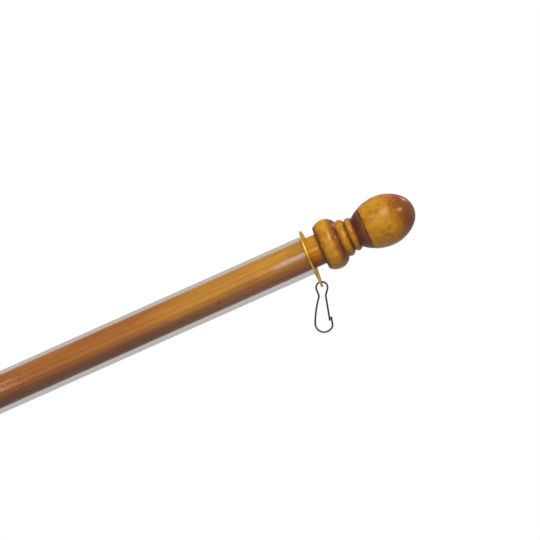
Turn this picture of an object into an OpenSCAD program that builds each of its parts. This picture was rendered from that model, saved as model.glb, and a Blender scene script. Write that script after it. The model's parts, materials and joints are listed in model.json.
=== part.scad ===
// House flagpole: a raked wooden shaft with a turned finial, a loose clear
// sleeve that keeps the flag from wrapping, and a pear-shaped collar plate
// that carries a wire snap hook.
// The origin is the centre of the shaft's butt face. The shaft rises along +X.

/* [Pole] */
// Rise of the pole above the horizontal, in degrees
rake = 24; // [10:1:45]
// Diameter of the wooden shaft
shaft_d = 25.4; // [20:0.2:32]
// Length of the shaft from its butt face to the finial's seat
shaft_l = 1341; // [1100:1:1800]
// Width of the chamfer round the butt
butt_chamfer = 2; // [0.5:0.5:4]
// Diameter of the tenon that is glued into the finial
tenon_d = 16; // [12:0.5:18]
// Length of the tenon
tenon_l = 24; // [15:1:26]

/* [Finial] */
// Largest diameter of the base bead
bead_d = 42; // [36:1:50]
// Height of the bead's fullest point above the seat
bead_z = 8.9; // [7:0.1:11]
// Radius of the bead's section below its fullest point
bead_foot_r = 13.2; // [12:0.2:15]
// Radius of the bead's section above its fullest point
bead_crown_r = 10.5; // [9:0.5:12]
// Diameter of the waist that the reeds and the knob grow from
waist_d = 24.6; // [22:0.2:26]
// Rise from the bead's fullest point to the lower reed
low_reed_rise = 11.9; // [10:0.1:13]
// Diameter of the lower reed
low_reed_d = 31; // [27:0.2:34]
// Radius of the lower reed's section
low_reed_r = 4; // [3:0.2:4.4]
// Rise from the lower reed to the upper reed
high_reed_rise = 7.2; // [6:0.1:9]
// Diameter of the upper reed
high_reed_d = 27.8; // [26:0.2:31]
// Radius of the upper reed's section
high_reed_r = 3.4; // [2.6:0.2:3.6]
// Rise from the upper reed to the foot of the knob
waist_rise = 3.4; // [2.8:0.1:6]
// Largest diameter of the egg-shaped knob
knob_d = 41.7; // [36:0.1:50]
// Rise from the foot of the knob to its fullest point
flare_rise = 23.1; // [19:0.1:28]
// Rise from the knob's fullest point to its tip
crown_rise = 26.5; // [21:0.1:32]
// Radius of the knob's blunt tip
knob_tip_r = 17; // [14:0.5:17]
// Rise from the foot of the knob to the line scored round it
score_rise = 7.6; // [5:0.1:12]
// Radius of the tool that scores that line
score_r = 0.5; // [0.3:0.1:0.8]

/* [Sleeve] */
// How much wider the clear sleeve's bore is than the shaft
sleeve_play = 3.4; // [2.4:0.1:4]
// Wall of the clear sleeve
sleeve_wall = 1.6; // [1:0.1:2]
// Length of the clear sleeve
sleeve_l = 762; // [500:1:950]
// Thickness of the plain washer under the sleeve
washer_t = 1.6; // [1:0.1:3]
// Thickness of the rubber ring that stops the sleeve
stop_section = 3.4; // [3:0.1:3.4]
// Depth of the groove that the rubber ring sits in
stop_groove = 1.5; // [1.4:0.1:1.8]

/* [Collar] */
// Thickness of the pear-shaped collar plate
collar_t = 1.5; // [1.2:0.1:2.2]
// Width of the plate's rim round the shaft
collar_rim = 6.3; // [5:0.1:8]
// How far the plate's tail stands out past the round rim
tail_l = 9.3; // [8.4:0.1:12]
// Diameter of the eyelet in the tail
eyelet_d = 4.8; // [4.4:0.1:5.4]
// Metal between the eyelet and the tip of the tail
eyelet_edge = 3.4; // [2.2:0.1:3.6]
// Bare shaft left between the middle of the plate and the finial
collar_play = 10.4; // [4:0.2:20]
// How far the hook's weight tips the plate's tail towards the butt, in degrees
collar_lean = 2; // [0:0.5:4]
// How far the loose plate's far side swings towards the finial, in degrees
collar_turn = 2.5; // [0:0.5:4]

/* [Snap hook] */
// Diameter of the hook's wire
wire_d = 1.5; // [1.2:0.1:1.6]
// Radius of the eye, to the middle of the wire
eye_r = 4.6; // [4.4:0.1:5.5]
// Distance from the middle of the eye to the middle of the bottom bend
hook_l = 28.7; // [23:0.1:36]
// Radius of the bottom bend, to the middle of the wire
bend_r = 7.1; // [6.6:0.1:8.6]
// Radius of the back leg's gentle bow
bow_r = 85; // [60:1:150]
// Distance from the middle of the eye down to the neck
neck_drop = 6.7; // [6.4:0.1:8]
// Half the distance between the wires at the neck
neck_half = 2.75; // [2.4:0.05:3]
// Radius of the bends at the neck
neck_r = 3; // [2:0.2:4]
// Distance of the nose's line from the middle of the bottom bend
nose_out = 6.5; // [5.6:0.1:6.5]
// Radius of the corner between the bottom bend and the nose
corner_r = 2; // [1.6:0.1:3]
// Length of the nose above the middle of the bottom bend
nose_l = 4.5; // [4:0.1:8]
// How far the gate's end reaches down past the tip of the nose
gate_lap = 3.2; // [2:0.1:3.8]
// How far below the neck the gate's wire flexes
gate_root = 3; // [2.4:0.2:4]
// How far the hook's lower end hangs out towards the finial, in degrees
hang_lean = 3.6; // [0:0.2:6]

/* [Fits] */
// Radial gap of the plate and the washer on the shaft
running_gap = 0.4; // [0.3:0.05:0.6]
// End gap between the plate, the sleeve and the washer
end_gap = 0.4; // [0.3:0.05:0.6]
// Gap left above the shaft where the loose sleeve hangs on it
hang_gap = 1.1; // [0.4:0.05:1.2]
// Glue line round the tenon
glue_gap = 0.1; // [0.05:0.05:0.2]
// Gap between small parts that rest on each other
rest_gap = 0.1; // [0.05:0.05:0.15]
// Gap in the wire where the gate's end turns on the neck
gate_gap = 0.3; // [0.2:0.05:0.4]

/* [Hidden] */
$fn = 96;

shaft_r = shaft_d / 2;
knob_r = knob_d / 2;
wire_r = wire_d / 2;

// The sleeve hangs on the shaft, so its axis lies below the shaft's.
sleeve_r = shaft_r + sleeve_play / 2 + sleeve_wall;
sleeve_drop = sleeve_play / 2 - hang_gap;

// A flag's pocket slides on from the butt, so what lies below the sleeve
// is no wider than the sleeve's upper side.
washer_r = sleeve_r - sleeve_drop - rest_gap;
stop_ring_r = shaft_r - stop_groove + stop_section / 2;

// Stations along the shaft, from the finial's seat downwards. The sleeve ends
// short of the tipped plate, however the plate is turned.
collar_z = shaft_l - collar_play;
tip_room = (sleeve_r + sleeve_drop)
    * sin(acos(cos(collar_lean) * cos(collar_turn)));
sleeve_z = collar_z - collar_t / 2 - tip_room - end_gap - sleeve_l;
washer_z = sleeve_z - end_gap - washer_t;
stop_z = washer_z - rest_gap - stop_section / 2;

// Stations above the finial's seat
low_reed_z = bead_z + low_reed_rise;
high_reed_z = low_reed_z + high_reed_rise;
knob_z = high_reed_z + waist_rise;
score_z = knob_z + score_rise;
knob_full_z = knob_z + flare_rise;
finial_l = knob_full_z + crown_rise;

// Plate, measured from the middle of its shaft hole
collar_r = shaft_r + running_gap + collar_rim;
eyelet_x = collar_r + tail_l - eyelet_edge - eyelet_d / 2;

wood = [0.72, 0.45, 0.15];
brass = [0.80, 0.63, 0.24];
steel = [0.40, 0.38, 0.36];
clear = [0.80, 0.80, 0.82, 0.4];
rubber = [0.12, 0.12, 0.12];

// Turns a module drawn along +Z so that it lies along the raked shaft.
// Its +X side then faces down, towards the ground.
module raked() rotate([0, 90 - rake, 0]) children();

module tube(inner_r, outer_r, height)
    difference() {
        cylinder(r = outer_r, h = height);
        translate([0, 0, -1]) cylinder(r = inner_r, h = height + 2);
    }

// Round-section ring about the Z axis
module torus(ring_r, section_r)
    rotate_extrude() translate([ring_r, 0]) circle(r = section_r);

// ---- shaft -------------------------------------------------------------

module shaft()
    color(wood) raked() difference() {
        union() {
            cylinder(r1 = shaft_r - butt_chamfer, r2 = shaft_r, h = butt_chamfer);
            translate([0, 0, butt_chamfer]) cylinder(r = shaft_r, h = shaft_l - butt_chamfer);
            translate([0, 0, shaft_l]) cylinder(d = tenon_d, h = tenon_l);
        }
        translate([0, 0, stop_z]) torus(stop_ring_r, stop_section / 2 + rest_gap);
    }

// ---- finial ------------------------------------------------------------

// Keeps the part of a profile that lies between two heights, right of the axis
module slice(from_z, to_z)
    intersection() {
        children();
        translate([0, from_z]) square([knob_d + bead_d, to_z - from_z]);
    }

module disc_at(x, z, r) translate([x, z]) circle(r = r);

module bead_profile() {
    slice(0, bead_z) disc_at(bead_d / 2 - bead_foot_r, bead_z, bead_foot_r);
    slice(bead_z, knob_z) disc_at(bead_d / 2 - bead_crown_r, bead_z, bead_crown_r);
}

// Above its fullest point the knob is an arc that blends into a round tip,
// and below that point another arc runs down to the waist.
tip_rise = crown_rise - knob_tip_r;
tip_z = knob_full_z + tip_rise;
shoulder_r = (knob_r^2 + tip_rise^2 - knob_tip_r^2) / (2 * (knob_r - knob_tip_r));
blend_turn = atan2(tip_rise, shoulder_r - knob_r);
blend_z = tip_z + knob_tip_r * sin(blend_turn);
flare_in = knob_r - waist_d / 2;
flare_r = (flare_rise^2 + flare_in^2) / (2 * flare_in);

module knob_profile() {
    slice(knob_z, knob_full_z) disc_at(knob_r - flare_r, knob_full_z, flare_r);
    slice(knob_full_z, blend_z) disc_at(knob_r - shoulder_r, knob_full_z, shoulder_r);
    slice(blend_z, finial_l) disc_at(0, tip_z, knob_tip_r);
}

score_x = knob_r - flare_r + sqrt(flare_r^2 - (knob_full_z - score_z)^2);

module finial_profile()
    difference() {
        union() {
            square([waist_d / 2, knob_z]);
            bead_profile();
            disc_at(low_reed_d / 2 - low_reed_r, low_reed_z, low_reed_r);
            disc_at(high_reed_d / 2 - high_reed_r, high_reed_z, high_reed_r);
            knob_profile();
        }
        disc_at(score_x, score_z, score_r);
    }

module finial()
    color(wood) raked() translate([0, 0, shaft_l]) difference() {
        rotate_extrude() finial_profile();
        translate([0, 0, -1]) cylinder(r = tenon_d / 2 + glue_gap, h = tenon_l + 2);
    }

// ---- sleeve and its stop -----------------------------------------------

module clear_sleeve()
    color(clear) raked() translate([sleeve_drop, 0, sleeve_z])
        tube(sleeve_r - sleeve_wall, sleeve_r, sleeve_l);

module thrust_washer()
    color(brass) raked() translate([0, 0, washer_z])
        tube(shaft_r + running_gap, washer_r, washer_t);

module stop_ring()
    color(rubber) raked() translate([0, 0, stop_z])
        torus(stop_ring_r, stop_section / 2);

// ---- collar plate ------------------------------------------------------

// A round plate and a smaller round tail, joined by their common tangents
module pear(big_r, small_r, reach) {
    tangent = acos((big_r - small_r) / reach);
    circle(r = big_r);
    translate([reach, 0]) circle(r = small_r);
    polygon([
        big_r * [cos(tangent), sin(tangent)],
        big_r * [cos(tangent), -sin(tangent)],
        [reach, 0] + small_r * [cos(tangent), -sin(tangent)],
        [reach, 0] + small_r * [cos(tangent), sin(tangent)],
    ]);
}

module collar_plate()
    color(brass) raked() translate([0, 0, collar_z])
        rotate([0, collar_lean, 0]) rotate([collar_turn, 0, 0])
        translate([0, 0, -collar_t / 2]) linear_extrude(collar_t) difference() {
            pear(collar_r, eyelet_edge + eyelet_d / 2, eyelet_x);
            circle(r = shaft_r + running_gap);
            translate([eyelet_x, 0]) circle(d = eyelet_d);
        }

// ---- snap hook ---------------------------------------------------------

// The hook is drawn flat, with X to the side and Y up, and the middle of its
// eye at [0, 0]. Its wire is a chain of straight rods and round bends. Every
// other link is a hair thicker, and the links between run a short way into it.
lap = 0.2;
hair = 0.02;

// Straight rod from p to q, which runs on past each end by its own lap
module rod(p, q, p_lap = lap, q_lap = lap, grow = 0)
    translate([p.x, p.y, 0]) rotate([0, 0, heading(p, q)]) rotate([0, 90, 0])
        translate([0, 0, -p_lap])
            cylinder(r = wire_r + grow, h = norm(q - p) + p_lap + q_lap, $fn = 32);

module bend(centre, r, from, to, ends = 0, grow = hair) {
    over = ends / r * 180 / PI;
    translate([centre.x, centre.y, 0]) rotate([0, 0, from - over])
        rotate_extrude(angle = to - from + 2 * over)
            translate([r, 0]) circle(r = wire_r + grow, $fn = 32);
}

module wire_end(p) translate([p.x, p.y, 0]) sphere(r = wire_r + hair, $fn = 32);

function polar(r, a) = r * [cos(a), sin(a)];
function heading(p, q) = atan2(q.y - p.y, q.x - p.x);

// Each side of the neck bends round a point outside the wire. A straight
// stem joins that bend to the eye.
neck_mid = [neck_half + neck_r, -neck_drop];
eye_turn = heading([0, 0], neck_mid) + acos((eye_r + neck_r) / norm(neck_mid));
stem_top = polar(eye_r, eye_turn);
stem_foot = neck_mid - polar(neck_r, eye_turn);

// The back leg is a shallow arc that blends into the neck and the bottom bend.
bend_mid = [0, -hook_l];
neck_reach = norm(neck_mid - bend_mid);
bow_reach = bow_r - bend_r;
bow_lean = acos((neck_reach^2 + bow_reach^2 - (bow_r + neck_r)^2)
                / (2 * neck_reach * bow_reach));
bow_turn = heading(bend_mid, neck_mid) + bow_lean;
bow_mid = bend_mid + polar(bow_reach, bow_turn);
bow_top = heading(bow_mid, neck_mid);

// The gate is a straight leg, and the nose stands outside it, side by side.
gate_out = nose_out - wire_d - rest_gap;
gate_turn = heading(neck_mid, bend_mid) - acos((neck_r + gate_out) / neck_reach);
gate_side = polar(1, gate_turn + 180);
gate_up = polar(1, gate_turn - 90);
gate_top = neck_mid - neck_r * gate_side;
gate_pivot = gate_top - gate_root * gate_up;
gate_end = bend_mid + gate_out * gate_side + (nose_l - gate_lap) * gate_up;

// A tight corner joins the bottom bend to the nose.
corner_in = nose_out - corner_r;
corner_drop = sqrt((bend_r - corner_r)^2 - corner_in^2);
corner_mid = bend_mid + corner_in * gate_side - corner_drop * gate_up;
corner_turn = heading(bend_mid, corner_mid);
nose_foot = corner_mid + corner_r * gate_side;
nose_top = bend_mid + nose_out * gate_side + nose_l * gate_up;

// The eye hangs on the rim of the eyelet, at the face next to the finial.
rim_x = eyelet_x + eyelet_d / 2;
eye_x = rim_x * cos(collar_lean) + collar_t / 2 * sin(collar_lean);
eye_z = collar_z - rim_x * sin(collar_lean) + collar_t / 2 * cos(collar_lean);
module hung()
    translate([eye_z * cos(rake) + eye_x * sin(rake), 0,
               eye_z * sin(rake) - eye_x * cos(rake) - (eye_r - wire_r - rest_gap)])
        rotate([90, 0, 0]) rotate([0, 0, hang_lean]) children();

module snap_hook()
    color(steel) hung() {
        bend([0, 0], eye_r, eye_turn, 180 - eye_turn);
        rod(stem_top, stem_foot);
        bend(neck_mid, neck_r, eye_turn + 180, gate_turn + 360);
        rod(gate_top, gate_pivot + (wire_r + gate_gap) * gate_up, lap, 0);
        mirror([1, 0, 0]) {
            rod(stem_top, stem_foot);
            bend(neck_mid, neck_r, eye_turn + 180, bow_top + 180);
            bend(bow_mid, bow_r, bow_turn - 180, bow_top, lap, 0);
        }
        bend(bend_mid, bend_r, -bow_turn, corner_turn);
        bend(corner_mid, corner_r, corner_turn, gate_turn + 180, lap, 0);
        rod(nose_foot, nose_top, 0, 0, hair);
    }

module hook_gate()
    color(steel) hung() {
        wire_end(gate_pivot);
        rod(gate_pivot, gate_end, 0, 0);
    }

shaft();
finial();
clear_sleeve();
collar_plate();
snap_hook();
hook_gate();
thrust_washer();
stop_ring();
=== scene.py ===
# %% [markdown]
# # A wooden house flagpole
#
# A dowel with a turned finial leans out and up, as it does from a bracket on
# a house wall. A clear sleeve hangs loose on it, so that a flag can turn and
# not wrap itself up. Above the sleeve sits a pear-shaped brass plate, and a
# snap hook of bent wire hangs from the plate's tail.
#
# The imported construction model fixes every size. This script measures it,
# makes a finely finished piece in the place of each part, gives each one a
# finish, and then sets up a camera and light.

# %% Load the frame
import json
import math

import bpy
import bmesh
import numpy as np
from mathutils import Matrix, Vector

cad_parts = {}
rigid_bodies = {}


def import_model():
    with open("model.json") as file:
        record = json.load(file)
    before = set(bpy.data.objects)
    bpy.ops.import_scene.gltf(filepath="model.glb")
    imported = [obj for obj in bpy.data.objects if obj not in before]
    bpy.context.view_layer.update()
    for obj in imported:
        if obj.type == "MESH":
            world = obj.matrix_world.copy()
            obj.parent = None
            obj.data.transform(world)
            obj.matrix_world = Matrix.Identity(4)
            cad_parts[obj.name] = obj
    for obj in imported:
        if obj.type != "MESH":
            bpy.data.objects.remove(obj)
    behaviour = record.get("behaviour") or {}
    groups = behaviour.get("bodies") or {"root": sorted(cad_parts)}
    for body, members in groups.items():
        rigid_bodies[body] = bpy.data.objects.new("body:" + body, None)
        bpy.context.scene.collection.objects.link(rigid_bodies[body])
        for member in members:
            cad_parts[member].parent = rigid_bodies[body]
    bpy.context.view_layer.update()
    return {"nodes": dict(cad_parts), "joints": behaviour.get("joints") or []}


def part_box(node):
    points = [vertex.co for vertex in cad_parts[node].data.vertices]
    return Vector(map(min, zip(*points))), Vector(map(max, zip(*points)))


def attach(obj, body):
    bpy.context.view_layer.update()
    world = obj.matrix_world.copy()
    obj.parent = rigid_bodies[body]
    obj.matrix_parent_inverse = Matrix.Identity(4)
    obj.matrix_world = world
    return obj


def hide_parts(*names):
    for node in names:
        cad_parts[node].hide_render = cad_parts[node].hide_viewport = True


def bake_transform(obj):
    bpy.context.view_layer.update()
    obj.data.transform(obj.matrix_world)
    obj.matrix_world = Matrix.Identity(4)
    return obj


for startup_object in list(bpy.data.objects):
    bpy.data.objects.remove(startup_object)
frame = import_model()
MM = 0.001

# %% [markdown]
# ## The pole's own directions
#
# The pole leans, so sizes along it are awkward to read in upright
# coordinates. We make one matrix that stands for the pole: its Z runs from
# the butt to the finial, its X faces down and its Y points away to the side.
# Every turned piece is drawn upright in that frame and laid down by the
# matrix, and every size is measured in it too.

# %% The pole's frame, and a tape measure along it
joints = {joint["name"]: joint for joint in frame["joints"]}
along = Vector(joints["collar_spin"]["axis"]).normalized()
side = Vector((0, 1, 0))
down = side.cross(along)
laid = Matrix((down, side, along)).transposed().to_4x4()
rake = math.asin(along.z)


def measured(node):
    """Lowest and highest corners of a part in the pole's frame, in metres."""
    data = frame["nodes"][node].data
    points = np.empty(len(data.vertices) * 3)
    data.vertices.foreach_get("co", points)
    turned = points.reshape(-1, 3) @ np.array(laid.to_3x3())
    return turned.min(axis=0), turned.max(axis=0)


sizes = {node: measured(node) for node in frame["nodes"]}
for node, (low, high) in sizes.items():
    print(node, "spans", np.round(low / MM, 2), "to", np.round(high / MM, 2), "mm")

shaft_r = sizes["shaft"][1][1]
seat_z = sizes["finial"][0][2]
tip_z = sizes["finial"][1][2]

# %% [markdown]
# ## Two ways to make a piece from a line
#
# Nearly everything here was either turned on a lathe or bent from wire. Both
# follow one rule, so both are Geometry Nodes trees that take a drawn line. A
# Screw modifier and a curve's bevel could do the same, but a tree shows each
# step, and it carries marks on the line over to the surface. First comes a
# small builder that adds nodes and wires them up.

# %% A builder for node trees
def socket_of(node, key):
    """An input by its number, as in i0, or by its name, with _ for a space."""
    if key[0] == "i" and key[1:].isdigit():
        return node.inputs[int(key[1:])]
    return node.inputs[key.replace("_", " ")]


def wire_up(tree, node, **inputs):
    """Gives inputs their plain values, or links them to earlier nodes' sockets."""
    for key, value in inputs.items():
        if isinstance(value, bpy.types.NodeSocket):
            tree.links.new(value, socket_of(node, key))
        else:
            socket_of(node, key).default_value = value


def add_node(tree, kind, settings=None, **inputs):
    """Adds a node with its settings, and wires up its inputs."""
    node = tree.nodes.new(kind)
    for key, value in (settings or {}).items():
        setattr(node, key, value)
    wire_up(tree, node, **inputs)
    return node


def new_tree(name, **sizes_in):
    """A Geometry Nodes tree with a geometry input and the named inputs."""
    tree = bpy.data.node_groups.new(name, "GeometryNodeTree")
    tree.interface.new_socket("Line", in_out="INPUT", socket_type="NodeSocketGeometry")
    for label, kind in sizes_in.items():
        tree.interface.new_socket(label.replace("_", " "), in_out="INPUT", socket_type=kind)
    tree.interface.new_socket("Piece", in_out="OUTPUT", socket_type="NodeSocketGeometry")
    return tree, add_node(tree, "NodeGroupInput").outputs


def close_tree(tree, geometry, material):
    """Ends a tree: shaded smooth, made real and given its material."""
    smooth = add_node(tree, "GeometryNodeSetShadeSmooth", i0=geometry)
    real = add_node(tree, "GeometryNodeRealizeInstances", i0=smooth.outputs[0])
    painted = add_node(tree, "GeometryNodeSetMaterial", i0=real.outputs[0], Material=material)
    end = add_node(tree, "NodeGroupOutput")
    tree.links.new(painted.outputs[0], end.inputs[0])
    print("tree", tree.name, "has", len(tree.nodes), "nodes")
    return tree


# %% [markdown]
# ### The lathe
#
# A lathe turns the wood past a tool. Here the outline goes round instead: it
# is swept along a small circle, the hub, whose normals stay upright. An
# outline that starts on the axis leaves a ring of points on one spot there,
# so a merge closes the pole.

# %% The lathe's tree
def lathe_tree():
    tree, given = new_tree(
        "Lathe", Hub="NodeSocketFloat", Facets="NodeSocketInt", Material="NodeSocketMaterial",
    )
    outline = add_node(tree, "GeometryNodeMeshToCurve", Mesh=given["Line"])
    circle = add_node(
        tree, "GeometryNodeCurvePrimitiveCircle", Resolution=given["Facets"], Radius=given["Hub"],
    )
    upright = add_node(tree, "GeometryNodeSetCurveNormal", {"mode": "Z_UP"}, Curve=circle.outputs[0])
    swept = add_node(
        tree, "GeometryNodeCurveToMesh", Curve=upright.outputs[0], Profile_Curve=outline.outputs[0],
    )
    closed = add_node(tree, "GeometryNodeMergeByDistance", Geometry=swept.outputs[0], Distance=1e-6)
    return close_tree(tree, closed.outputs[0], given["Material"])


lathe = lathe_tree()

# %% [markdown]
# ### The wire bender
#
# A wire bender works on round stock, so this tree sweeps a circle along the
# path. Each point of the path says how thick the wire is there, from 0 to 1.
# That is how a cut end gets its eased edge.

# %% The wire bender's tree
def wire_tree():
    tree, given = new_tree(
        "Bent wire", Wire_radius="NodeSocketFloat", Facets="NodeSocketInt", Material="NodeSocketMaterial",
    )
    path = add_node(tree, "GeometryNodeMeshToCurve", Mesh=given["Line"])
    section = add_node(
        tree, "GeometryNodeCurvePrimitiveCircle", Resolution=given["Facets"], Radius=given["Wire radius"],
    )
    thickness = add_node(
        tree, "GeometryNodeInputNamedAttribute", {"data_type": "FLOAT"}, Name="thickness",
    )
    swept = add_node(
        tree, "GeometryNodeCurveToMesh", Curve=path.outputs[0], Profile_Curve=section.outputs[0],
        Scale=thickness.outputs[0], Fill_Caps=True,
    )
    return close_tree(tree, swept.outputs[0], given["Material"])


bender = wire_tree()

# %% [markdown]
# ### Blank finishes, and how a tree is run
#
# Each tree ends by painting what it made, so the materials are named here,
# while they are still blank. What is in them comes at the end. A tree could
# stay on its piece as a live modifier, but a finished piece is easier to
# measure and to hand on, so we keep the result as a plain mesh.

# %% Name the finishes
FINISHES = (
    "honey_varnished_dowel", "honey_varnished_finial", "clear_grey_tube", "rolled_brass_plate",
    "rolled_brass_washer", "dull_plated_wire", "moulded_black_rubber",
)
finish = {name: bpy.data.materials.new(name) for name in FINISHES}
print(len(finish), "blank finishes:", ", ".join(finish))


# %% Run a tree on a drawn line
def line_mesh(name, points, closed=False, **marks):
    """A mesh of loose edges through points. marks are values per point."""
    data = bpy.data.meshes.new(name)
    edges = [(i, i + 1) for i in range(len(points) - 1)]
    if closed:
        edges.append((len(points) - 1, 0))
    data.from_pydata([tuple(p) for p in points], edges, [])
    for label, values in marks.items():
        data.attributes.new(label, "FLOAT", "POINT").data.foreach_set("value", values)
    return data


def run(tree, name, line, **values):
    """Runs a tree on a line and returns a plain mesh object."""
    piece = bpy.data.objects.new(name, line)
    bpy.context.scene.collection.objects.link(piece)
    modifier = piece.modifiers.new(tree.name, "NODES")
    modifier.node_group = tree
    for item in tree.interface.items_tree:
        key = item.name.replace(" ", "_")
        if item.in_out == "INPUT" and key in values:
            modifier[item.identifier] = values[key]
    bpy.context.view_layer.update()
    evaluated = piece.evaluated_get(bpy.context.evaluated_depsgraph_get())
    plain = bpy.data.meshes.new_from_object(evaluated)
    piece.modifiers.clear()
    piece.data = plain
    plain.name = name
    return piece


def settle(piece, body, node, place):
    """Puts the place into the mesh and hands the piece to its body."""
    piece.data.transform(place)
    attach(piece, body)
    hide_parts(node)
    print(piece.name, "rides on", body, "with", len(piece.data.polygons), "faces")


# %% [markdown]
# ## Drawing a turned outline
#
# A turner works from a half outline: how far the wood stands out from the
# axis at each station along it. We write the same list, from the finial end
# down the outside to the butt, so that the lathe's faces point outwards.
# Nothing real has a knife-sharp edge, so a helper eases every corner, and
# adds a point beside each one so that flat faces stay flat when shaded.

# %% Arcs and eased corners
HUB = 0.010


def arc(centre, radius, start, end, steps):
    """Points on an arc round centre. Angles are degrees from the first axis."""
    turns = np.radians(np.linspace(start, end, steps))
    return [(centre[0] + radius * math.cos(a), centre[1] + radius * math.sin(a)) for a in turns]


def eased(corners, ease, closed=False):
    """Replaces each corner with a small curve and a guard point on each side."""
    points = [Vector(c) for c in corners]
    out = []
    for i, corner in enumerate(points):
        if not closed and i in (0, len(points) - 1):
            out.append(corner)
            continue
        before, after = points[i - 1] - corner, points[(i + 1) % len(points)] - corner
        cut = min(ease, 0.3 * before.length, 0.3 * after.length)
        a, b = corner + before.normalized() * cut, corner + after.normalized() * cut
        out.append(corner + before.normalized() * cut * 1.5)
        out += [a * (1 - t) ** 2 + corner * 2 * t * (1 - t) + b * t**2 for t in (0, 0.25, 0.5, 0.75, 1)]
        out.append(corner + after.normalized() * cut * 1.5)
    return [tuple(p) for p in out]


def split_long(points, longest, closed=False):
    """Adds stations to long straight runs, so that faces stay well shaped."""
    out = []
    for i in range(len(points) - (0 if closed else 1)):
        a, b = np.array(points[i]), np.array(points[(i + 1) % len(points)])
        pieces = max(1, math.ceil(np.linalg.norm(b - a) / longest))
        out += [tuple(a + (b - a) * k / pieces) for k in range(pieces)]
    return out if closed else out + [points[-1]]


def turn(name, outline, facets, material, closed=False, **marks):
    """Turns an outline of (distance from the axis, station) on the lathe."""
    line = line_mesh(name, [(r - HUB, -z, 0) for r, z in outline], closed, **marks)
    return run(lathe, name, line, Hub=HUB, Facets=facets, Material=material)


# %% [markdown]
# ## The shaft
#
# The real shaft is a hardwood dowel an inch thick. Its butt edge is broken
# with a small chamfer so that it slides into a bracket, a shallow round
# groove near the middle holds a rubber ring, and a thinner tenon at the top is
# glued into the finial. The groove is cut where the ring was measured.

# %% Turn the shaft
ring_low, ring_high = sizes["stop_ring"]
ring_section = (ring_high[2] - ring_low[2]) / 2
ring_z = (ring_high[2] + ring_low[2]) / 2
ring_r = ring_high[1] - ring_section
tenon_top = sizes["shaft"][1][2]
TENON_R = 8.0 * MM
BUTT_CHAMFER = 2.0 * MM
GROOVE_PLAY = 0.1 * MM
SEAT_EASE, BUTT_EASE, SHAFT_STATION = 0.5 * MM, 0.7 * MM, 12 * MM


def shaft_outline():
    groove_r = ring_section + GROOVE_PLAY
    lip = math.degrees(math.acos((shaft_r - ring_r) / groove_r))
    groove = arc((ring_r, ring_z), groove_r, lip, 360 - lip, 15)
    top = [(0, tenon_top), (TENON_R, tenon_top), (TENON_R, seat_z), (shaft_r, seat_z)]
    butt = [(shaft_r, BUTT_CHAMFER), (shaft_r - BUTT_CHAMFER, 0), (0, 0)]
    upper = eased(top + [groove[0]], SEAT_EASE)
    lower = eased([groove[-1]] + butt, BUTT_EASE)
    return split_long(upper + groove[1:-1] + lower, SHAFT_STATION)


shaft = turn("shaft_dowel", shaft_outline(), 112, finish["honey_varnished_dowel"])
settle(shaft, "pole", "shaft", place=laid)

# %% [markdown]
# ## The finial
#
# The finial is turned from its own block: a fat bead, two thin reeds, and an
# egg-shaped knob with a line scored round its foot. Each of these is an arc,
# and the outline at any station is simply the widest of them. We sample that
# rule closely, soften the valleys a little as sandpaper does, and finish the
# blunt tip with an arc of its own, where the outline turns too steep to read
# station by station.

# %% The finial's sizes
BEAD_R, BEAD_Z, BEAD_FOOT, BEAD_CROWN = 21.0 * MM, 8.9 * MM, 13.2 * MM, 10.5 * MM
REEDS = [(15.5 * MM, 20.8 * MM, 4.0 * MM), (13.9 * MM, 28.0 * MM, 3.4 * MM)]
WAIST_R, KNOB_FOOT_Z = 12.3 * MM, 31.4 * MM
KNOB_R, KNOB_FULL_Z, TIP_R = 20.85 * MM, 54.5 * MM, 17.0 * MM
SCORE_Z, SCORE_R = 39.0 * MM, 0.5 * MM
SCORE_DEPTH, SCORE_HALF = 1.15 * SCORE_R, 0.75 * SCORE_R
BORE_R, BORE_DEPTH = 8.1 * MM, 25.0 * MM
finial_l = tip_z - seat_z
tip_mid = finial_l - TIP_R
tip_rise = tip_mid - KNOB_FULL_Z
shoulder_r = (KNOB_R**2 + tip_rise**2 - TIP_R**2) / (2 * (KNOB_R - TIP_R))
tip_turn = math.degrees(math.atan2(tip_rise, shoulder_r - KNOB_R))
tip_join_z = tip_mid + TIP_R * math.sin(math.radians(tip_turn))
flare_in = KNOB_R - WAIST_R
flare_r = ((KNOB_FULL_Z - KNOB_FOOT_Z) ** 2 + flare_in**2) / (2 * flare_in)
print("the finial stands", round(finial_l / MM, 2), "mm above its seat")


# %% The finial's outline
# The outline is read every STATION. Sandpaper's softening spreads over SANDED
# stations, and is worked out as far as SANDED_OVER of them.
STATION, SANDED_OVER, SANDED, SEAT_EDGE = 0.05 * MM, 12, 3.5, 0.6 * MM


def bulge(z, centre_r, centre_z, radius):
    """How far a round section stands out at station z, or 0 past its ends."""
    inside = radius**2 - (z - centre_z) ** 2
    return centre_r + math.sqrt(inside) if inside > 0 else 0.0


def finial_radius(z):
    """Distance of the finial's surface from its axis, at a station above the seat."""
    bead = BEAD_FOOT if z < BEAD_Z else BEAD_CROWN
    shapes = [bulge(z, BEAD_R - bead, BEAD_Z, bead)] if z < KNOB_FOOT_Z else []
    shapes += [bulge(z, reed_r - section, reed_z, section) for reed_r, reed_z, section in REEDS]
    if z < KNOB_FOOT_Z:
        shapes.append(WAIST_R)
    elif z < KNOB_FULL_Z:
        shapes.append(bulge(z, KNOB_R - flare_r, KNOB_FULL_Z, flare_r))
    else:
        shapes.append(bulge(z, KNOB_R - shoulder_r, KNOB_FULL_Z, shoulder_r))
    score = SCORE_DEPTH * math.exp(-(((z - SCORE_Z) / SCORE_HALF) ** 2))
    return max(shapes) - score


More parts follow.
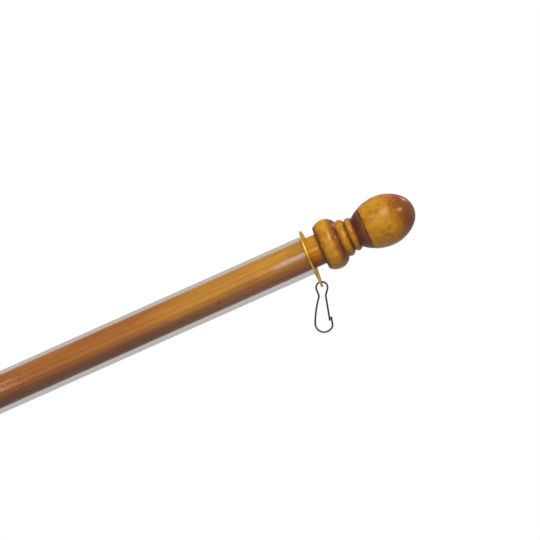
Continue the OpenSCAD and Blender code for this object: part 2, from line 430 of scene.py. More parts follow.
def finial_outline():
    """Outline from the tip down, over the seat and up into the tenon's bore."""
    stations = np.arange(0, tip_join_z, STATION)
    radii = np.array([finial_radius(z) for z in stations])
    blur = np.exp(-0.5 * (np.arange(-SANDED_OVER, SANDED_OVER + 1) / SANDED) ** 2)
    padded = np.pad(radii, SANDED_OVER, "reflect", reflect_type="odd")
    soft = np.convolve(padded, blur / blur.sum(), "valid")
    tip = arc((0, tip_mid), TIP_R, 90, tip_turn, 60)
    side_points = [(r, z) for r, z in zip(soft[::-1], stations[::-1])]
    seat = [(soft[0], 0), (BORE_R, 0), (BORE_R, BORE_DEPTH), (0, BORE_DEPTH)]
    edge = eased([side_points[-SANDED_OVER]] + seat, SEAT_EDGE)
    return tip[:-1] + side_points[:-SANDED_OVER] + edge


# %% Space the outline's points
TIGHT_BEND, CLOSEST, OUTLINE_STEP = 0.7 * MM, 3.0, 0.42 * MM


def respaced(points, step):
    """The same line with its points a step apart, or closer at tight bends."""
    points = np.array(points)
    lengths = np.linalg.norm(np.diff(points, axis=0), axis=1)
    travelled = np.concatenate([[0], np.cumsum(lengths)])
    headings = np.unwrap(np.arctan2(*np.diff(points, axis=0).T))
    bending = np.abs(np.gradient(headings)) / np.maximum(lengths, 1e-9)
    averaged = np.convolve(bending, np.ones(9) / 9, "same")
    wanted = step / (1 + np.clip(averaged * TIGHT_BEND, 0, CLOSEST))
    counted = np.concatenate([[0], np.cumsum(lengths / wanted)])
    picks = np.interp(np.linspace(0, counted[-1], math.ceil(counted[-1]) + 1), counted, travelled)
    return [tuple(np.interp(s, travelled, points[:, k]) for k in (0, 1)) for s in picks]


# %% [markdown]
# ### Where stain and painted shade gather
#
# Stain gathers in the valleys that a cloth can't reach, and the end grain at
# the tip drinks more of it. The same darkening also paints shade: in the
# valleys, on the bead's foot against the dowel, along the waist and on the
# tip's side that turns away from the light. A texture could guess at the
# valleys, but we know where they are: each point of the outline gets a number
# from 0 to 1, read from a short list of stations, and the lathe carries it
# round. The finish reads it by name further down.

# %% Turn the finial
# Stations above the seat, in millimetres, and how much stain and painted
# shade darken the wood there.
STAIN_AND_SHADE = [
    (0.0, 0.95), (1.2, 0.75), (2.6, 0.25), (4.5, 0.0),  # the bead's foot, on the dowel
    (10.8, 0.0), (12.6, 0.22), (14.2, 0.48), (15.6, 0.72), (16.8, 1.0), (17.6, 0.7),  # its crown
    (18.8, 0.05), (22.0, 0.0), (23.8, 0.5), (24.6, 1.0), (25.3, 0.5), (26.2, 0.0),  # the reeds
    (29.0, 0.05), (30.6, 0.8), (31.4, 1.0), (34.5, 0.95), (37.2, 0.74),  # the waist
    (38.4, 0.66), (38.8, 0.95), (39.3, 0.95), (39.8, 0.12), (42.0, 0.0),  # the scored line
    # the tip: end grain that takes more stain, and painted shade on its side away from the light
    (53.0, 0.0), (60.0, 0.08), (66.0, 0.24), (72.5, 0.62),  # the tip's end grain
]


def gathered_stain(r, z):
    """How much stain and painted shade darken a point of the outline, from 0 to 1."""
    outside = r > BORE_R or z > KNOB_FULL_Z
    return float(np.interp(z / MM, *zip(*STAIN_AND_SHADE))) if outside else 0.0


outline = respaced(finial_outline(), OUTLINE_STEP)
stain_and_shade_marks = [gathered_stain(r, z) for r, z in outline]
raised = [(r, z + seat_z) for r, z in outline]
finial = turn("finial_knob", raised, 160, finish["honey_varnished_finial"], gathered=stain_and_shade_marks)
settle(finial, "pole", "finial", place=laid)

# %% [markdown]
# ## The clear sleeve, its washer and its stop
#
# The sleeve is a plastic tube some way wider than the shaft. It hangs loose on
# it, so its axis lies a little lower. A brass washer and a rubber ring stop it
# from sliding down. A cylinder with Solidify could make the tube, but all
# three are closed outlines swept round, so the lathe makes them as they are:
# a tube's wall, a washer's flat section and a round one.

# %% Turn the sleeve, the washer and the ring
WALL, RUNNING_GAP = 1.6 * MM, 0.4 * MM
TUBE_EASE, WASHER_EASE, TUBE_STATION = 0.35 * MM, 0.25 * MM, 20 * MM


def ring_outline(inner, outer, low, high, ease):
    corners = [(inner, high), (outer, high), (outer, low), (inner, low)]
    return eased(corners, ease, closed=True)


sleeve_low, sleeve_high = sizes["clear_sleeve"]
sleeve_r = sleeve_high[1]
sleeve_drop = (sleeve_low[0] + sleeve_high[0]) / 2
wall = ring_outline(sleeve_r - WALL, sleeve_r, sleeve_low[2], sleeve_high[2], TUBE_EASE)
tube = split_long(wall, TUBE_STATION, closed=True)
sleeve = turn("sleeve_tube", tube, 144, finish["clear_grey_tube"], closed=True)
hanging = laid @ Matrix.Translation((sleeve_drop, 0, 0))
settle(sleeve, "sleeve", "clear_sleeve", place=hanging)

washer_low, washer_high = sizes["thrust_washer"]
flat = ring_outline(shaft_r + RUNNING_GAP, washer_high[1], washer_low[2], washer_high[2], WASHER_EASE)
washer = turn("stop_washer", flat, 96, finish["rolled_brass_washer"], closed=True)
settle(washer, "pole", "thrust_washer", place=laid)

section = arc((ring_r, ring_z), ring_section, 90, -270, 33)[:-1]
stop = turn("stop_ring_rubber", section, 128, finish["moulded_black_rubber"], closed=True)
settle(stop, "pole", "stop_ring", place=laid)

# %% [markdown]
# ## The collar plate
#
# The plate is stamped from brass sheet: a round rim, a smaller round tail
# joined to it by straight flanks, a hole for the shaft and an eyelet. Stamping
# leaves a rolled edge, and a bevel on a shape with holes is easily uneven. So
# we draw each of the three borders at several depths, a little further in near
# each face, join them up like a stack of hoops, and fill the two flat faces
# between them. The plate is loose on the shaft, so the hook's weight tips its
# tail back a little, and it lies turned by a few degrees too.

# %% Stamp the plate
plate_high = sizes["collar_plate"][1]
PLATE_T, PLATE_LEAN, PLATE_TURN = 1.5 * MM, math.radians(2.0), math.radians(2.5)
plate_mid = Vector(joints["collar_spin"]["pos_m"]).dot(along)
tipped = laid @ Matrix.Translation((0, 0, plate_mid)) @ Matrix.Rotation(PLATE_LEAN, 4, "Y")
tipped = tipped @ Matrix.Rotation(PLATE_TURN, 4, "X")
collar_r = (plate_high[1] - PLATE_T / 2 * math.sin(PLATE_TURN)) / math.cos(PLATE_TURN)
EYELET_R, EYELET_EDGE = 2.4 * MM, 3.4 * MM
tail_reach = (plate_high[0] - PLATE_T / 2 * math.sin(PLATE_LEAN)) / math.cos(PLATE_LEAN)
eyelet_x = tail_reach - EYELET_EDGE - EYELET_R
tail_r = EYELET_R + EYELET_EDGE
tangent = math.degrees(math.acos((collar_r - tail_r) / eyelet_x))


def plate_border(which, inset):
    """Points round the outside, the shaft hole or the eyelet, moved inwards."""
    if which == "shaft hole":
        return arc((0, 0), shaft_r + RUNNING_GAP + inset, 0, 360, 121)[:-1]
    if which == "eyelet":
        return arc((eyelet_x, 0), EYELET_R + inset, 0, 360, 49)[:-1]
    rim = arc((0, 0), collar_r - inset, tangent, 360 - tangent, 110)
    tail = arc((eyelet_x, 0), tail_r - inset, -tangent, tangent, 40)
    return rim + tail


def plate_mesh(roll):
    shell = bmesh.new()
    low, high = -PLATE_T / 2, PLATE_T / 2
    turns = np.radians(np.linspace(-90, 90, 9))
    hoops = [(roll * (1 - math.cos(a)), low + roll + roll * math.sin(a)) for a in turns[:5]]
    hoops += [(roll * (1 - math.cos(a)), high - roll + roll * math.sin(a)) for a in turns[4:]]
    caps = {low: [], high: []}
    for which in ("outside", "shaft hole", "eyelet"):
        rows = [[shell.verts.new((x, y, z)) for x, y in plate_border(which, inset)] for inset, z in hoops]
        for lower, upper in zip(rows, rows[1:]):
            for i in range(len(lower)):
                j = (i + 1) % len(lower)
                shell.faces.new((lower[i], lower[j], upper[j], upper[i]))
        for row, z in ((rows[0], low), (rows[-1], high)):
            caps[z] += [shell.edges.get((row[i], row[(i + 1) % len(row)])) for i in range(len(row))]
    for edges in caps.values():
        bmesh.ops.triangle_fill(shell, edges=edges, use_beauty=True)
    bmesh.ops.recalc_face_normals(shell, faces=shell.faces)
    for face in shell.faces:
        face.smooth = True
    data = bpy.data.meshes.new("collar_plate_stamped")
    shell.to_mesh(data)
    shell.free()
    data.materials.append(finish["rolled_brass_plate"])
    return data


ROLLED_EDGE = 0.28 * MM
plate = bpy.data.objects.new("collar_plate_stamped", plate_mesh(ROLLED_EDGE))
bpy.context.scene.collection.objects.link(plate)
settle(plate, "collar", "collar_plate", place=tipped)

# %% [markdown]
# ## The snap hook
#
# One length of spring wire makes the whole hook. It starts at the gate's
# root, bends over the neck, runs round the eye, narrows at the neck again,
# bows gently down the back and round the bottom bend, and turns up sharply
# into the nose. We draw it flat, in millimetres, as a chain of arcs that meet
# in line, and sweep the wire along it. The gate is the same wire's other end,
# and it flexes, so it is a second piece.

# %% The hook's wire, drawn flat
WIRE_R, EYE_R, HOOK_L, BEND_R, BOW_R = 0.75, 4.6, 28.7, 7.1, 85.0
NECK_DROP, NECK_HALF, NECK_R = 6.7, 2.75, 3.0
NOSE_OUT, NOSE_L, CORNER_R, REST_GAP = 6.5, 4.5, 2.0, 0.1
GATE_ROOT, GATE_LAP, SEAM_DROP, BEND_REACH = 3.0, 3.2, 0.6, 1.9


def heading(p, q):
    return math.degrees(math.atan2(q[1] - p[1], q[0] - p[0]))


def toward(turn_to, length=1.0):
    return Vector((length * math.cos(math.radians(turn_to)), length * math.sin(math.radians(turn_to))))


eye_mid, bend_mid = Vector((0, 0)), Vector((0, -HOOK_L))
neck_mid = Vector((NECK_HALF + NECK_R, -NECK_DROP))
far_neck_mid = Vector((-neck_mid.x, neck_mid.y))
eye_turn = heading(eye_mid, neck_mid) + math.degrees(math.acos((EYE_R + NECK_R) / neck_mid.length))
neck_reach, bow_reach = (neck_mid - bend_mid).length, BOW_R - BEND_R
bow_lean = math.acos((neck_reach**2 + bow_reach**2 - (BOW_R + NECK_R) ** 2) / (2 * neck_reach * bow_reach))
bow_turn = heading(bend_mid, neck_mid) + math.degrees(bow_lean)
bow_mid = bend_mid + toward(bow_turn, bow_reach)
far_bow_mid = Vector((-bow_mid.x, bow_mid.y))
bow_top = heading(bow_mid, neck_mid)
gate_out = NOSE_OUT - 2 * WIRE_R - REST_GAP
gate_turn = heading(neck_mid, bend_mid) - math.degrees(math.acos((NECK_R + gate_out) / neck_reach))
gate_side, gate_up = toward(gate_turn + 180), toward(gate_turn - 90)
gate_top = neck_mid - NECK_R * gate_side
gate_end = bend_mid + gate_out * gate_side + (NOSE_L - GATE_LAP) * gate_up
corner_in = NOSE_OUT - CORNER_R
corner_mid = bend_mid + corner_in * gate_side - math.sqrt((BEND_R - CORNER_R) ** 2 - corner_in**2) * gate_up
corner_turn = heading(bend_mid, corner_mid)
nose_foot = corner_mid + CORNER_R * gate_side
nose_top = bend_mid + NOSE_OUT * gate_side + NOSE_L * gate_up
print("gate leans", round(gate_turn + 180, 2), "degrees")
print("nose is", round((nose_top - nose_foot).length, 2), "mm long")

# %% The path of the bent wire
STEP = 0.3


def bend_points(centre, radius, start, end):
    steps = max(6, round(math.radians(abs(end - start)) * radius / STEP))
    return arc(centre, radius, start, end, steps)


def rod_points(p, q):
    steps = max(2, round((q - p).length / STEP))
    return [tuple(p.lerp(q, k / (steps - 1))) for k in range(steps)]


def joined(*links):
    """Runs links end to end and drops the point that two of them share."""
    points = list(links[0])
    for link in links[1:]:
        assert math.dist(points[-1], link[0]) < 0.02, "two links don't meet"
        points += link[1:]
    return points


gate_pivot = gate_top - GATE_ROOT * gate_up
seam = gate_top - SEAM_DROP * gate_up
near_stem = (eye_mid + toward(eye_turn, EYE_R), neck_mid - toward(eye_turn, NECK_R))
far_stem = [Vector((-p.x, p.y)) for p in near_stem]
hook_path = joined(
    rod_points(seam, gate_top),
    bend_points(neck_mid, NECK_R, gate_turn + 360, eye_turn + 180),
    rod_points(near_stem[1], near_stem[0]),
    bend_points(eye_mid, EYE_R, eye_turn, 180 - eye_turn),
    rod_points(far_stem[0], far_stem[1]),
    bend_points(far_neck_mid, NECK_R, -eye_turn, -bow_top),
    bend_points(far_bow_mid, BOW_R, 180 - bow_top, 360 - bow_turn),
    bend_points(bend_mid, BEND_R, 360 - bow_turn, 360 + corner_turn),
    bend_points(corner_mid, CORNER_R, corner_turn, gate_turn + 180),
    rod_points(nose_foot, nose_top),
)
gate_path = rod_points(seam, gate_end)


def thinned(points, ease=0.35, least=0.6):
    """How thick the wire is at each point: full, but eased where it was cut."""
    along_wire = np.concatenate([[0], np.cumsum([math.dist(a, b) for a, b in zip(points, points[1:])])])
    near = np.clip(1 - (along_wire[-1] - along_wire) / ease, 0, 1)
    return least + (1 - least) * np.sqrt(1 - near**2)


def eased_end(points):
    """Adds close points at the cut end, so that its eased edge has a shape."""
    last, before = Vector(points[-1]), Vector(points[-2])
    tail = [tuple(last.lerp(before, k)) for k in (0.65, 0.35, 0.15, 0.05)]
    return list(points[:-1]) + tail + [points[-1]]


# %% Hang the hook and its gate
swing, flex = Vector(joints["hook_swing"]["pos_m"]), Vector(joints["gate_flex"]["pos_m"])
eye_at, pivot_at = (swing.x, swing.z), (flex.x, flex.z)
lean = heading(eye_at, pivot_at) - heading(eye_mid, gate_pivot)
hung = (
    Matrix.Translation(swing)
    @ Matrix.Rotation(math.radians(90), 4, "X")
    @ Matrix.Rotation(math.radians(lean), 4, "Z")
    @ Matrix.Scale(MM, 4)
)
print("the hook leans", round(lean, 3), "degrees towards the finial")


def bent(name, points):
    points = eased_end(points)
    line = line_mesh(name, [(x, y, 0) for x, y in points], thickness=thinned(points))
    return run(bender, name, line, Wire_radius=WIRE_R, Facets=24, Material=finish["dull_plated_wire"])


hook = bent("snap_hook_wire", hook_path)
settle(hook, "hook", "snap_hook", place=hung)

gate = bent("snap_hook_gate_wire", gate_path)
gate.data.transform(hung)
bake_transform(gate)
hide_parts("hook_gate")
print(gate.name, "bends over", 2 * BEND_REACH, "mm from the hook's motion to the gate's")

# %% [markdown]
# Before the finishes, we hold every piece against the part that it stands
# for. The boxes should agree to about two tenths of a millimetre. Only the
# gate differs by more: it starts further up the wire.

# %% Check the pieces against the construction
pieces = {
    "shaft": shaft, "finial": finial, "clear_sleeve": sleeve, "thrust_washer": washer,
    "stop_ring": stop, "collar_plate": plate, "snap_hook": hook, "hook_gate": gate,
}
for node, piece in pieces.items():
    corners = np.array([piece.matrix_world @ v.co for v in piece.data.vertices])
    node_low, node_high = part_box(node)
    off = max(np.abs(corners.min(axis=0) - node_low).max(), np.abs(corners.max(axis=0) - node_high).max())
    print(piece.name, "differs by", round(off / MM, 3), "mm at most,", len(piece.data.vertices), "points")

# %% [markdown]
# ## Finishes
#
# Every finish is built from nodes that read the object's own coordinates, in
# metres. An unwrapped picture is the other way, but it leaves seams on a
# turned or bent piece, and a pattern in space has none. A Mapping node turns
# the coordinates so that the pattern's X runs along the pole. The helpers
# here stand for one node or two each.

# %% A start for every finish
def finish_start(name):
    """A finish's tree, shader and output, and coordinates laid along the pole."""
    material = finish[name]
    material.use_nodes = True
    tree = material.node_tree
    tree.nodes.clear()
    place = add_node(tree, "ShaderNodeTexCoord").outputs["Object"]
    grain = add_node(tree, "ShaderNodeMapping", Vector=place, Rotation=(0, rake, 0)).outputs[0]
    shader = add_node(tree, "ShaderNodeBsdfPrincipled")
    end = add_node(tree, "ShaderNodeOutputMaterial", Surface=shader.outputs[0])
    return tree, shader, grain, end


# %% Patterns
def stretched(tree, vector, scale, **turned):
    """Stretches a pattern. The scale is how often it repeats in a metre on each axis."""
    return add_node(tree, "ShaderNodeMapping", Vector=vector, Scale=scale, **turned).outputs[0]


def length_of(tree, vector):
    node = add_node(tree, "ShaderNodeVectorMath", {"operation": "LENGTH"}, i0=vector)
    return node.outputs["Value"]


def noise(tree, vector, scale=1.0, detail=2.0, roughness=0.5, distortion=0.0):
    node = add_node(
        tree, "ShaderNodeTexNoise", Vector=vector, Scale=scale, Detail=detail, Roughness=roughness,
        Distortion=distortion,
    )
    return node.outputs["Fac"]


# %% Values
def ranged(tree, value, low, high, to_low=0.0, to_high=1.0):
    """Moves a value smoothly from one range to another."""
    smooth = {"interpolation_type": "SMOOTHSTEP"}
    node = add_node(
        tree, "ShaderNodeMapRange", smooth, i0=value, i1=low, i2=high, i3=to_low, i4=to_high,
    )
    return node.outputs[0]


def math_node(tree, operation, a, b=0.0, c=0.0):
    return add_node(tree, "ShaderNodeMath", {"operation": operation}, i0=a, i1=b, i2=c).outputs[0]


def product(tree, first, *others):
    for other in others:
        first = math_node(tree, "MULTIPLY", first, other)
    return first


# %% Colours and bump
def ramp(tree, value, stops):
    node = add_node(tree, "ShaderNodeValToRGB", Fac=value)
    elements = node.color_ramp.elements
    while len(elements) < len(stops):
        elements.new(0.5)
    for element, (position, colour) in zip(elements, stops):
        element.position, element.color = position, (*colour, 1)
    return node.outputs[0]


def mixed(tree, factor, a, b, blend="MIX"):
    """Colour a where the factor is 0, and colour b where it is 1."""
    a, b = (value if isinstance(value, bpy.types.NodeSocket) else (*value, 1) for value in (a, b))
    settings = {"data_type": "RGBA", "blend_type": blend}
    return add_node(tree, "ShaderNodeMix", settings, i0=factor, i6=a, i7=b).outputs[2]


def tinted(tree, where, colour, tint):
    """The colour, multiplied by the tint where the mark is 1."""
    return mixed(tree, where, colour, mixed(tree, 1.0, colour, tint, "MULTIPLY"))


def bumped(tree, height, distance):
    return add_node(tree, "ShaderNodeBump", Strength=1.0, Distance=distance, Height=height).outputs[0]


# %% [markdown]
# ### Bare wood
#
# A dowel is cut from a plank some way off the heart of the tree. Its growth
# layers are shells round that heart. The Wave texture's rings are too even
# for them, so we take the distance from a line outside the piece, wobbled a
# little, and let a noise along that distance choose the tone. It gives
# streaks that run long and wavy down the side and arcs across the end. Fine
# fibres, soft blotches and short pores lie on top. The dowel and the finial
# are two pieces of wood, so each has its own list of numbers.

# %% Two pieces of wood
DARK_STREAK, HONEY, GOLD = (0.37, 0.125, 0.012), (0.63, 0.298, 0.018), (0.75, 0.405, 0.034)
PORE, PORE_DEPTH = (0.35, 0.20, 0.12), 0.5

# How often each pattern repeats in a metre, along the pole and across it.
DRIFT, FIBRES, BLOTCHES = (4.5, 38, 38), (34, 1300, 1300), (9, 45, 45)
CURLS, PORES, BRUSHING = (150, 80, 80), (120, 3000, 3000), (150, 260, 260)
CLOUDS = 150

# heart, layer and wobble are metres and tilt is radians. contrast and figure
# say how strong the layers and the curls are. coat and haze are the varnish's
# weight and roughness, and glint and matt are the wood's own gloss and
# roughness under it.
DOWEL = {
    "heart": (0.020, 0.031), "tilt": 0.012, "layer": 0.0042, "wobble": 0.0045, "contrast": 0.24,
    "figure": 0.05, "coat": 0.6, "haze": 0.26, "glint": 0.12, "matt": 0.36,
}
TURNED_BLOCK = {
    "heart": (-0.012, 0.036), "tilt": 0.05, "layer": 0.0030, "wobble": 0.012, "contrast": 0.16,
    "figure": 0.65, "coat": 0.2, "haze": 0.19, "glint": 0.35, "matt": 0.23,
}
FIBRE_SHARE = BLOTCH_SHARE = 0.3
print("the dowel's layers are", DOWEL["layer"] / MM, "mm, the finial's", TURNED_BLOCK["layer"] / MM, "mm")


# %% Grow the wood
def round_the_heart(tree, grain, wood):
    """Coordinates pushed about a little, and each point's distance from the heart."""
    drift = add_node(
        tree, "ShaderNodeTexNoise", Vector=stretched(tree, grain, DRIFT), Scale=1.0, Detail=2.0,
    ).outputs["Color"]
    centred = add_node(
        tree, "ShaderNodeVectorMath", {"operation": "SUBTRACT"}, i0=drift, i1=(0.5, 0.5, 0.5),
    ).outputs[0]
    pushed = add_node(
        tree, "ShaderNodeVectorMath", {"operation": "MULTIPLY_ADD"}, i0=centred,
        i1=(0, wood["wobble"], wood["wobble"]), i2=grain,
    ).outputs[0]
    turned = (0, wood["tilt"], wood["tilt"] * 0.6)
    flat = stretched(tree, pushed, (0, 1, 1), Rotation=turned, Location=(0, *wood["heart"]))
    return pushed, length_of(tree, flat)


def bare_wood(tree, grain, wood):
    """The wood's colour, and the fibres and blotches that later layers follow."""
    pushed, distance = round_the_heart(tree, grain, wood)
    layers = add_node(
        tree, "ShaderNodeTexNoise", {"noise_dimensions": "1D"}, W=distance, Scale=1 / wood["layer"],
        Detail=3.0, Roughness=0.6,
    ).outputs["Fac"]
    fibres = noise(tree, stretched(tree, pushed, FIBRES), detail=3.0, roughness=0.65)
    blotches = noise(tree, stretched(tree, grain, BLOTCHES))
    curls = noise(tree, stretched(tree, pushed, CURLS), detail=3.0, distortion=0.8)
    clouds = noise(tree, grain, scale=CLOUDS, distortion=0.6)
    rolling = math_node(tree, "SUBTRACT", math_node(tree, "ADD", curls, clouds), 1.0)
    tone = product(tree, fibres, FIBRE_SHARE)
    for pattern, share in (
        (ranged(tree, layers, 0.3, 0.7), wood["contrast"]),
        (ranged(tree, blotches, 0.25, 0.75), BLOTCH_SHARE),
        (rolling, wood["figure"]),
    ):
        tone = math_node(tree, "MULTIPLY_ADD", pattern, share, tone)
    middle = FIBRE_SHARE + wood["contrast"] / 2
    colour = ramp(tree, tone, [(middle - 0.32, DARK_STREAK), (middle, HONEY), (middle + 0.3, GOLD)])
    pores = ranged(tree, noise(tree, stretched(tree, grain, PORES), detail=1.0), 0.64, 0.74)
    return tinted(tree, product(tree, pores, PORE_DEPTH), colour, PORE), fibres, blotches


# %% [markdown]
# ### The dowel's marks, painted shade and painted light
#
# No two dowels look the same. This one is darker further from the finial and
# has one pin knot. Painted shade makes its lower flank redder and darker, most
# of all away from the finial, and painted light brightens its upper flank near
# the brass plate, up to the finial. A painted picture could hold them, but each
# is only a soft patch, so a few heights and stations are enough.

# %% Mark the dowel, and paint shade and light on it
# Of these tints, the two for the lower flank are painted shade, and the bright one near the plate is
# painted light.
PAINTED_SHADE_LOWER_FLANK, DARKER_AWAY_FROM_FINIAL = (0.84, 0.70, 0.92), (0.78, 0.62, 0.80)
PAINTED_SHADE_FAR_BELOW, KNOT, PAINTED_LIGHT_BY_PLATE = (0.62, 0.62, 0.74), (0.30, 0.16, 0.12), (1.16, 1.28, 1.05)

# Metres along the pole, and metres up from its axis once the wander is added:
# where each mark starts, and where it is full.
PAINTED_SHADE_HEIGHT, DARKER_AWAY_ALONG = (0.0045, -0.0015), (1.255, 1.180)
PAINTED_SHADE_FAR_HEIGHT, PAINTED_SHADE_FAR_ALONG = (0.0030, -0.0030), (1.300, 1.255)
PAINTED_LIGHT_ALONG, PAINTED_LIGHT_LOW, PAINTED_LIGHT_HIGH = (1.277, 1.297), (-0.0015, 0.0005), (0.0140, 0.0100)
KNOT_AT, KNOT_SCALE, KNOT_DEPTH = (1.2493, -0.0108, -0.0067), (420, 700, 700), 0.8
WANDER, WANDER_UP, WANDER_ALONG = (7, 60, 60), 0.008, 0.03


def dowel_marks_and_painted_light(tree, grain, colour):
    """Darker wood away from the finial, painted shade below, painted light by the plate, pin knot."""
    split = add_node(tree, "ShaderNodeSeparateXYZ", Vector=grain).outputs
    wander = noise(tree, stretched(tree, grain, WANDER))
    height = math_node(tree, "MULTIPLY_ADD", wander, WANDER_UP, split["Z"])
    station = math_node(tree, "MULTIPLY_ADD", wander, WANDER_ALONG, split["X"])
    # painted shade: the lower flank is tinted redder and darker, where shade falls
    painted_shade_below = ranged(tree, height, *PAINTED_SHADE_HEIGHT)
    # the wood turns darker and redder further from the finial
    darker_away = ranged(tree, station, *DARKER_AWAY_ALONG)
    # painted shade: the lower flank away from the finial is darkened more, where shade falls
    far_painted_shade = product(
        tree, ranged(tree, height, *PAINTED_SHADE_FAR_HEIGHT), ranged(tree, split["X"], *PAINTED_SHADE_FAR_ALONG),
    )
    # painted light: the upper flank near the plate, up to the finial, is brightened against the plate's
    # shadow
    pale = product(
        tree, ranged(tree, split["X"], *PAINTED_LIGHT_ALONG), ranged(tree, height, *PAINTED_LIGHT_LOW),
        ranged(tree, height, *PAINTED_LIGHT_HIGH),
    )
    to_knot = [-at * scale for at, scale in zip(KNOT_AT, KNOT_SCALE)]
    from_knot = length_of(tree, stretched(tree, grain, KNOT_SCALE, Location=to_knot))
    near_knot = ranged(tree, from_knot, 1.0, 0.4)
    for mark, tint in (
        (painted_shade_below, PAINTED_SHADE_LOWER_FLANK), (darker_away, DARKER_AWAY_FROM_FINIAL), (far_painted_shade, PAINTED_SHADE_FAR_BELOW), (pale, PAINTED_LIGHT_BY_PLATE),
        (product(tree, near_knot, KNOT_DEPTH), KNOT),
    ):
        colour = tinted(tree, mark, colour, tint)
    return colour


# %% [markdown]
# ### Stain, painted shade and varnish
#
# The finisher wipes on stain, which soaks in round the valleys and lies thick
# in them, and then brushes on varnish. The number that the lathe carried round
# drives the darkening, partly that stain and partly painted shade, in two
# parts: a wide soaked edge, and inside it the dark pool. The varnish is the
# shader's coat, a second clear layer with its own slight brush waves. A tint
# on its gloss keeps the highlights warm, as thick old varnish does.

# %% The finished wood
# The soak tint and the dark pool colour here are partly stain and partly painted shade.
SOAK_AND_SHADE_TINT, POOL_OF_STAIN_AND_SHADE, SOAK_AND_SHADE_SPREAD = (0.86, 0.66, 0.85), (0.095, 0.021, 0.026), 2.5
FIBRE_HEIGHT, WAVE_HEIGHT = 0.00003, 0.00007
WARM_GLOSS, WARM_COAT, COAT_IOR = (1.0, 0.84, 0.52, 1), (1.0, 0.90, 0.74, 1), 1.35


def stained_and_shaded(tree, colour, blotches):
    """Darkens the wood with stain and painted shade where the outline marks them."""
    mark = add_node(tree, "ShaderNodeAttribute", {"attribute_name": "gathered"}).outputs["Fac"]
    uneven = product(tree, mark, ranged(tree, blotches, 0.2, 0.7, 0.75, 1.1))
    soak_and_shade = math_node(tree, "MINIMUM", product(tree, uneven, SOAK_AND_SHADE_SPREAD), 1.0)
    return mixed(tree, uneven, tinted(tree, soak_and_shade, colour, SOAK_AND_SHADE_TINT), POOL_OF_STAIN_AND_SHADE)


def varnished_wood(name, wood, marks=None):
    tree, shader, grain, _ = finish_start(name)
    colour, fibres, blotches = bare_wood(tree, grain, wood)
    colour = stained_and_shaded(tree, colour, blotches)
    if marks:
        colour = marks(tree, grain, colour)
    brushed = noise(tree, stretched(tree, grain, BRUSHING), detail=1.5)
    wire_up(
        tree, shader, Base_Color=colour, Normal=bumped(tree, fibres, FIBRE_HEIGHT),
        Roughness=ranged(tree, fibres, 0.3, 0.7, wood["matt"], wood["matt"] + 0.1),
        Specular_IOR_Level=wood["glint"], Specular_Tint=WARM_GLOSS, Coat_Weight=wood["coat"],
        Coat_Roughness=wood["haze"], Coat_IOR=COAT_IOR, Coat_Tint=WARM_COAT,
        Coat_Normal=bumped(tree, brushed, WAVE_HEIGHT),
    )
    print(name, "has", len(tree.nodes), "nodes")


varnished_wood("honey_varnished_dowel", DOWEL, dowel_marks_and_painted_light)
varnished_wood("honey_varnished_finial", TURNED_BLOCK)

# %% [markdown]
# ### Clear plastic
#
# The tube is clear but faintly grey, and it shows that most where you look
# along its wall, so the grey is an absorbing volume and not a surface colour.
# Light on its way to the wood passes the tube nearly unchanged. A
# shader for clear solids would throw a full shadow, as it can't aim lamps
# through itself. Light Path tells the two cases apart.

# %% The clear plastic finish
CLEAR, PASSED_LIGHT, TUBE_GREY = (0.93, 0.91, 0.90, 1), (0.97, 0.965, 0.96, 1), (0.55, 0.42, 0.36, 1)
TUBE_IOR, GREY_DENSITY, TUBE_WAVE = 1.38, 22.0, 0.00006


def clear_plastic(name):
    tree, shader, grain, end = finish_start(name)
    hazy = noise(tree, stretched(tree, grain, (14, 130, 130)), detail=3.0)
    waves = noise(tree, stretched(tree, grain, (6, 120, 120)), detail=1.0)
    wire_up(
        tree, shader, Base_Color=CLEAR, Transmission_Weight=1.0, IOR=TUBE_IOR,
        Roughness=ranged(tree, hazy, 0.35, 0.75, 0.04, 0.08), Normal=bumped(tree, waves, TUBE_WAVE),
    )
    grey = add_node(tree, "ShaderNodeVolumeAbsorption", Color=TUBE_GREY, Density=GREY_DENSITY)
    let_through = add_node(tree, "ShaderNodeBsdfTransparent", Color=PASSED_LIGHT)
    path = add_node(tree, "ShaderNodeLightPath").outputs
    lighting = math_node(tree, "MAXIMUM", path["Is Shadow Ray"], path["Is Diffuse Ray"])
    both = add_node(
        tree, "ShaderNodeMixShader", Fac=lighting, i1=shader.outputs[0], i2=let_through.outputs[0],
    )
    wire_up(tree, end, Surface=both.outputs[0], Volume=grey.outputs[0])
    print(name, "has", len(tree.nodes), "nodes")


clear_plastic("clear_grey_tube")

# %% [markdown]
# ### Metals and rubber
#
# The brass is rolled sheet, so its faces carry faint rubbed lines and a
# browner bloom where it has dulled. The hook's wire is plated steel, dark and
# satin. The ring is plain moulded rubber. Each has a patchy colour, an uneven
# gloss and a fine bump, so one helper makes all three from their numbers. The
# brass is only half metallic, because the lacquer on it scatters light too.

# %% The metal and rubber finishes
BRASS_BLOOM = [(0.30, (0.56, 0.33, 0.045)), (0.52, (0.86, 0.57, 0.085)), (0.75, (0.96, 0.70, 0.15))]
WIRE_BLOOM = [(0.3, (0.075, 0.066, 0.060)), (0.7, (0.125, 0.112, 0.103))]
RUBBER_BLOOM = [(0.3, (0.018, 0.018, 0.019)), (0.75, (0.045, 0.044, 0.043))]


def dulled(tree, shader, bloom, colours, rubbed, gloss, fine, height, **settings):
    """Colour, roughness and bump, each from the pattern given for it."""
    wire_up(
        tree, shader, Base_Color=ramp(tree, bloom, colours),
        Roughness=ranged(tree, rubbed, 0.3, 0.7, *gloss), Normal=bumped(tree, fine, height), **settings,
    )


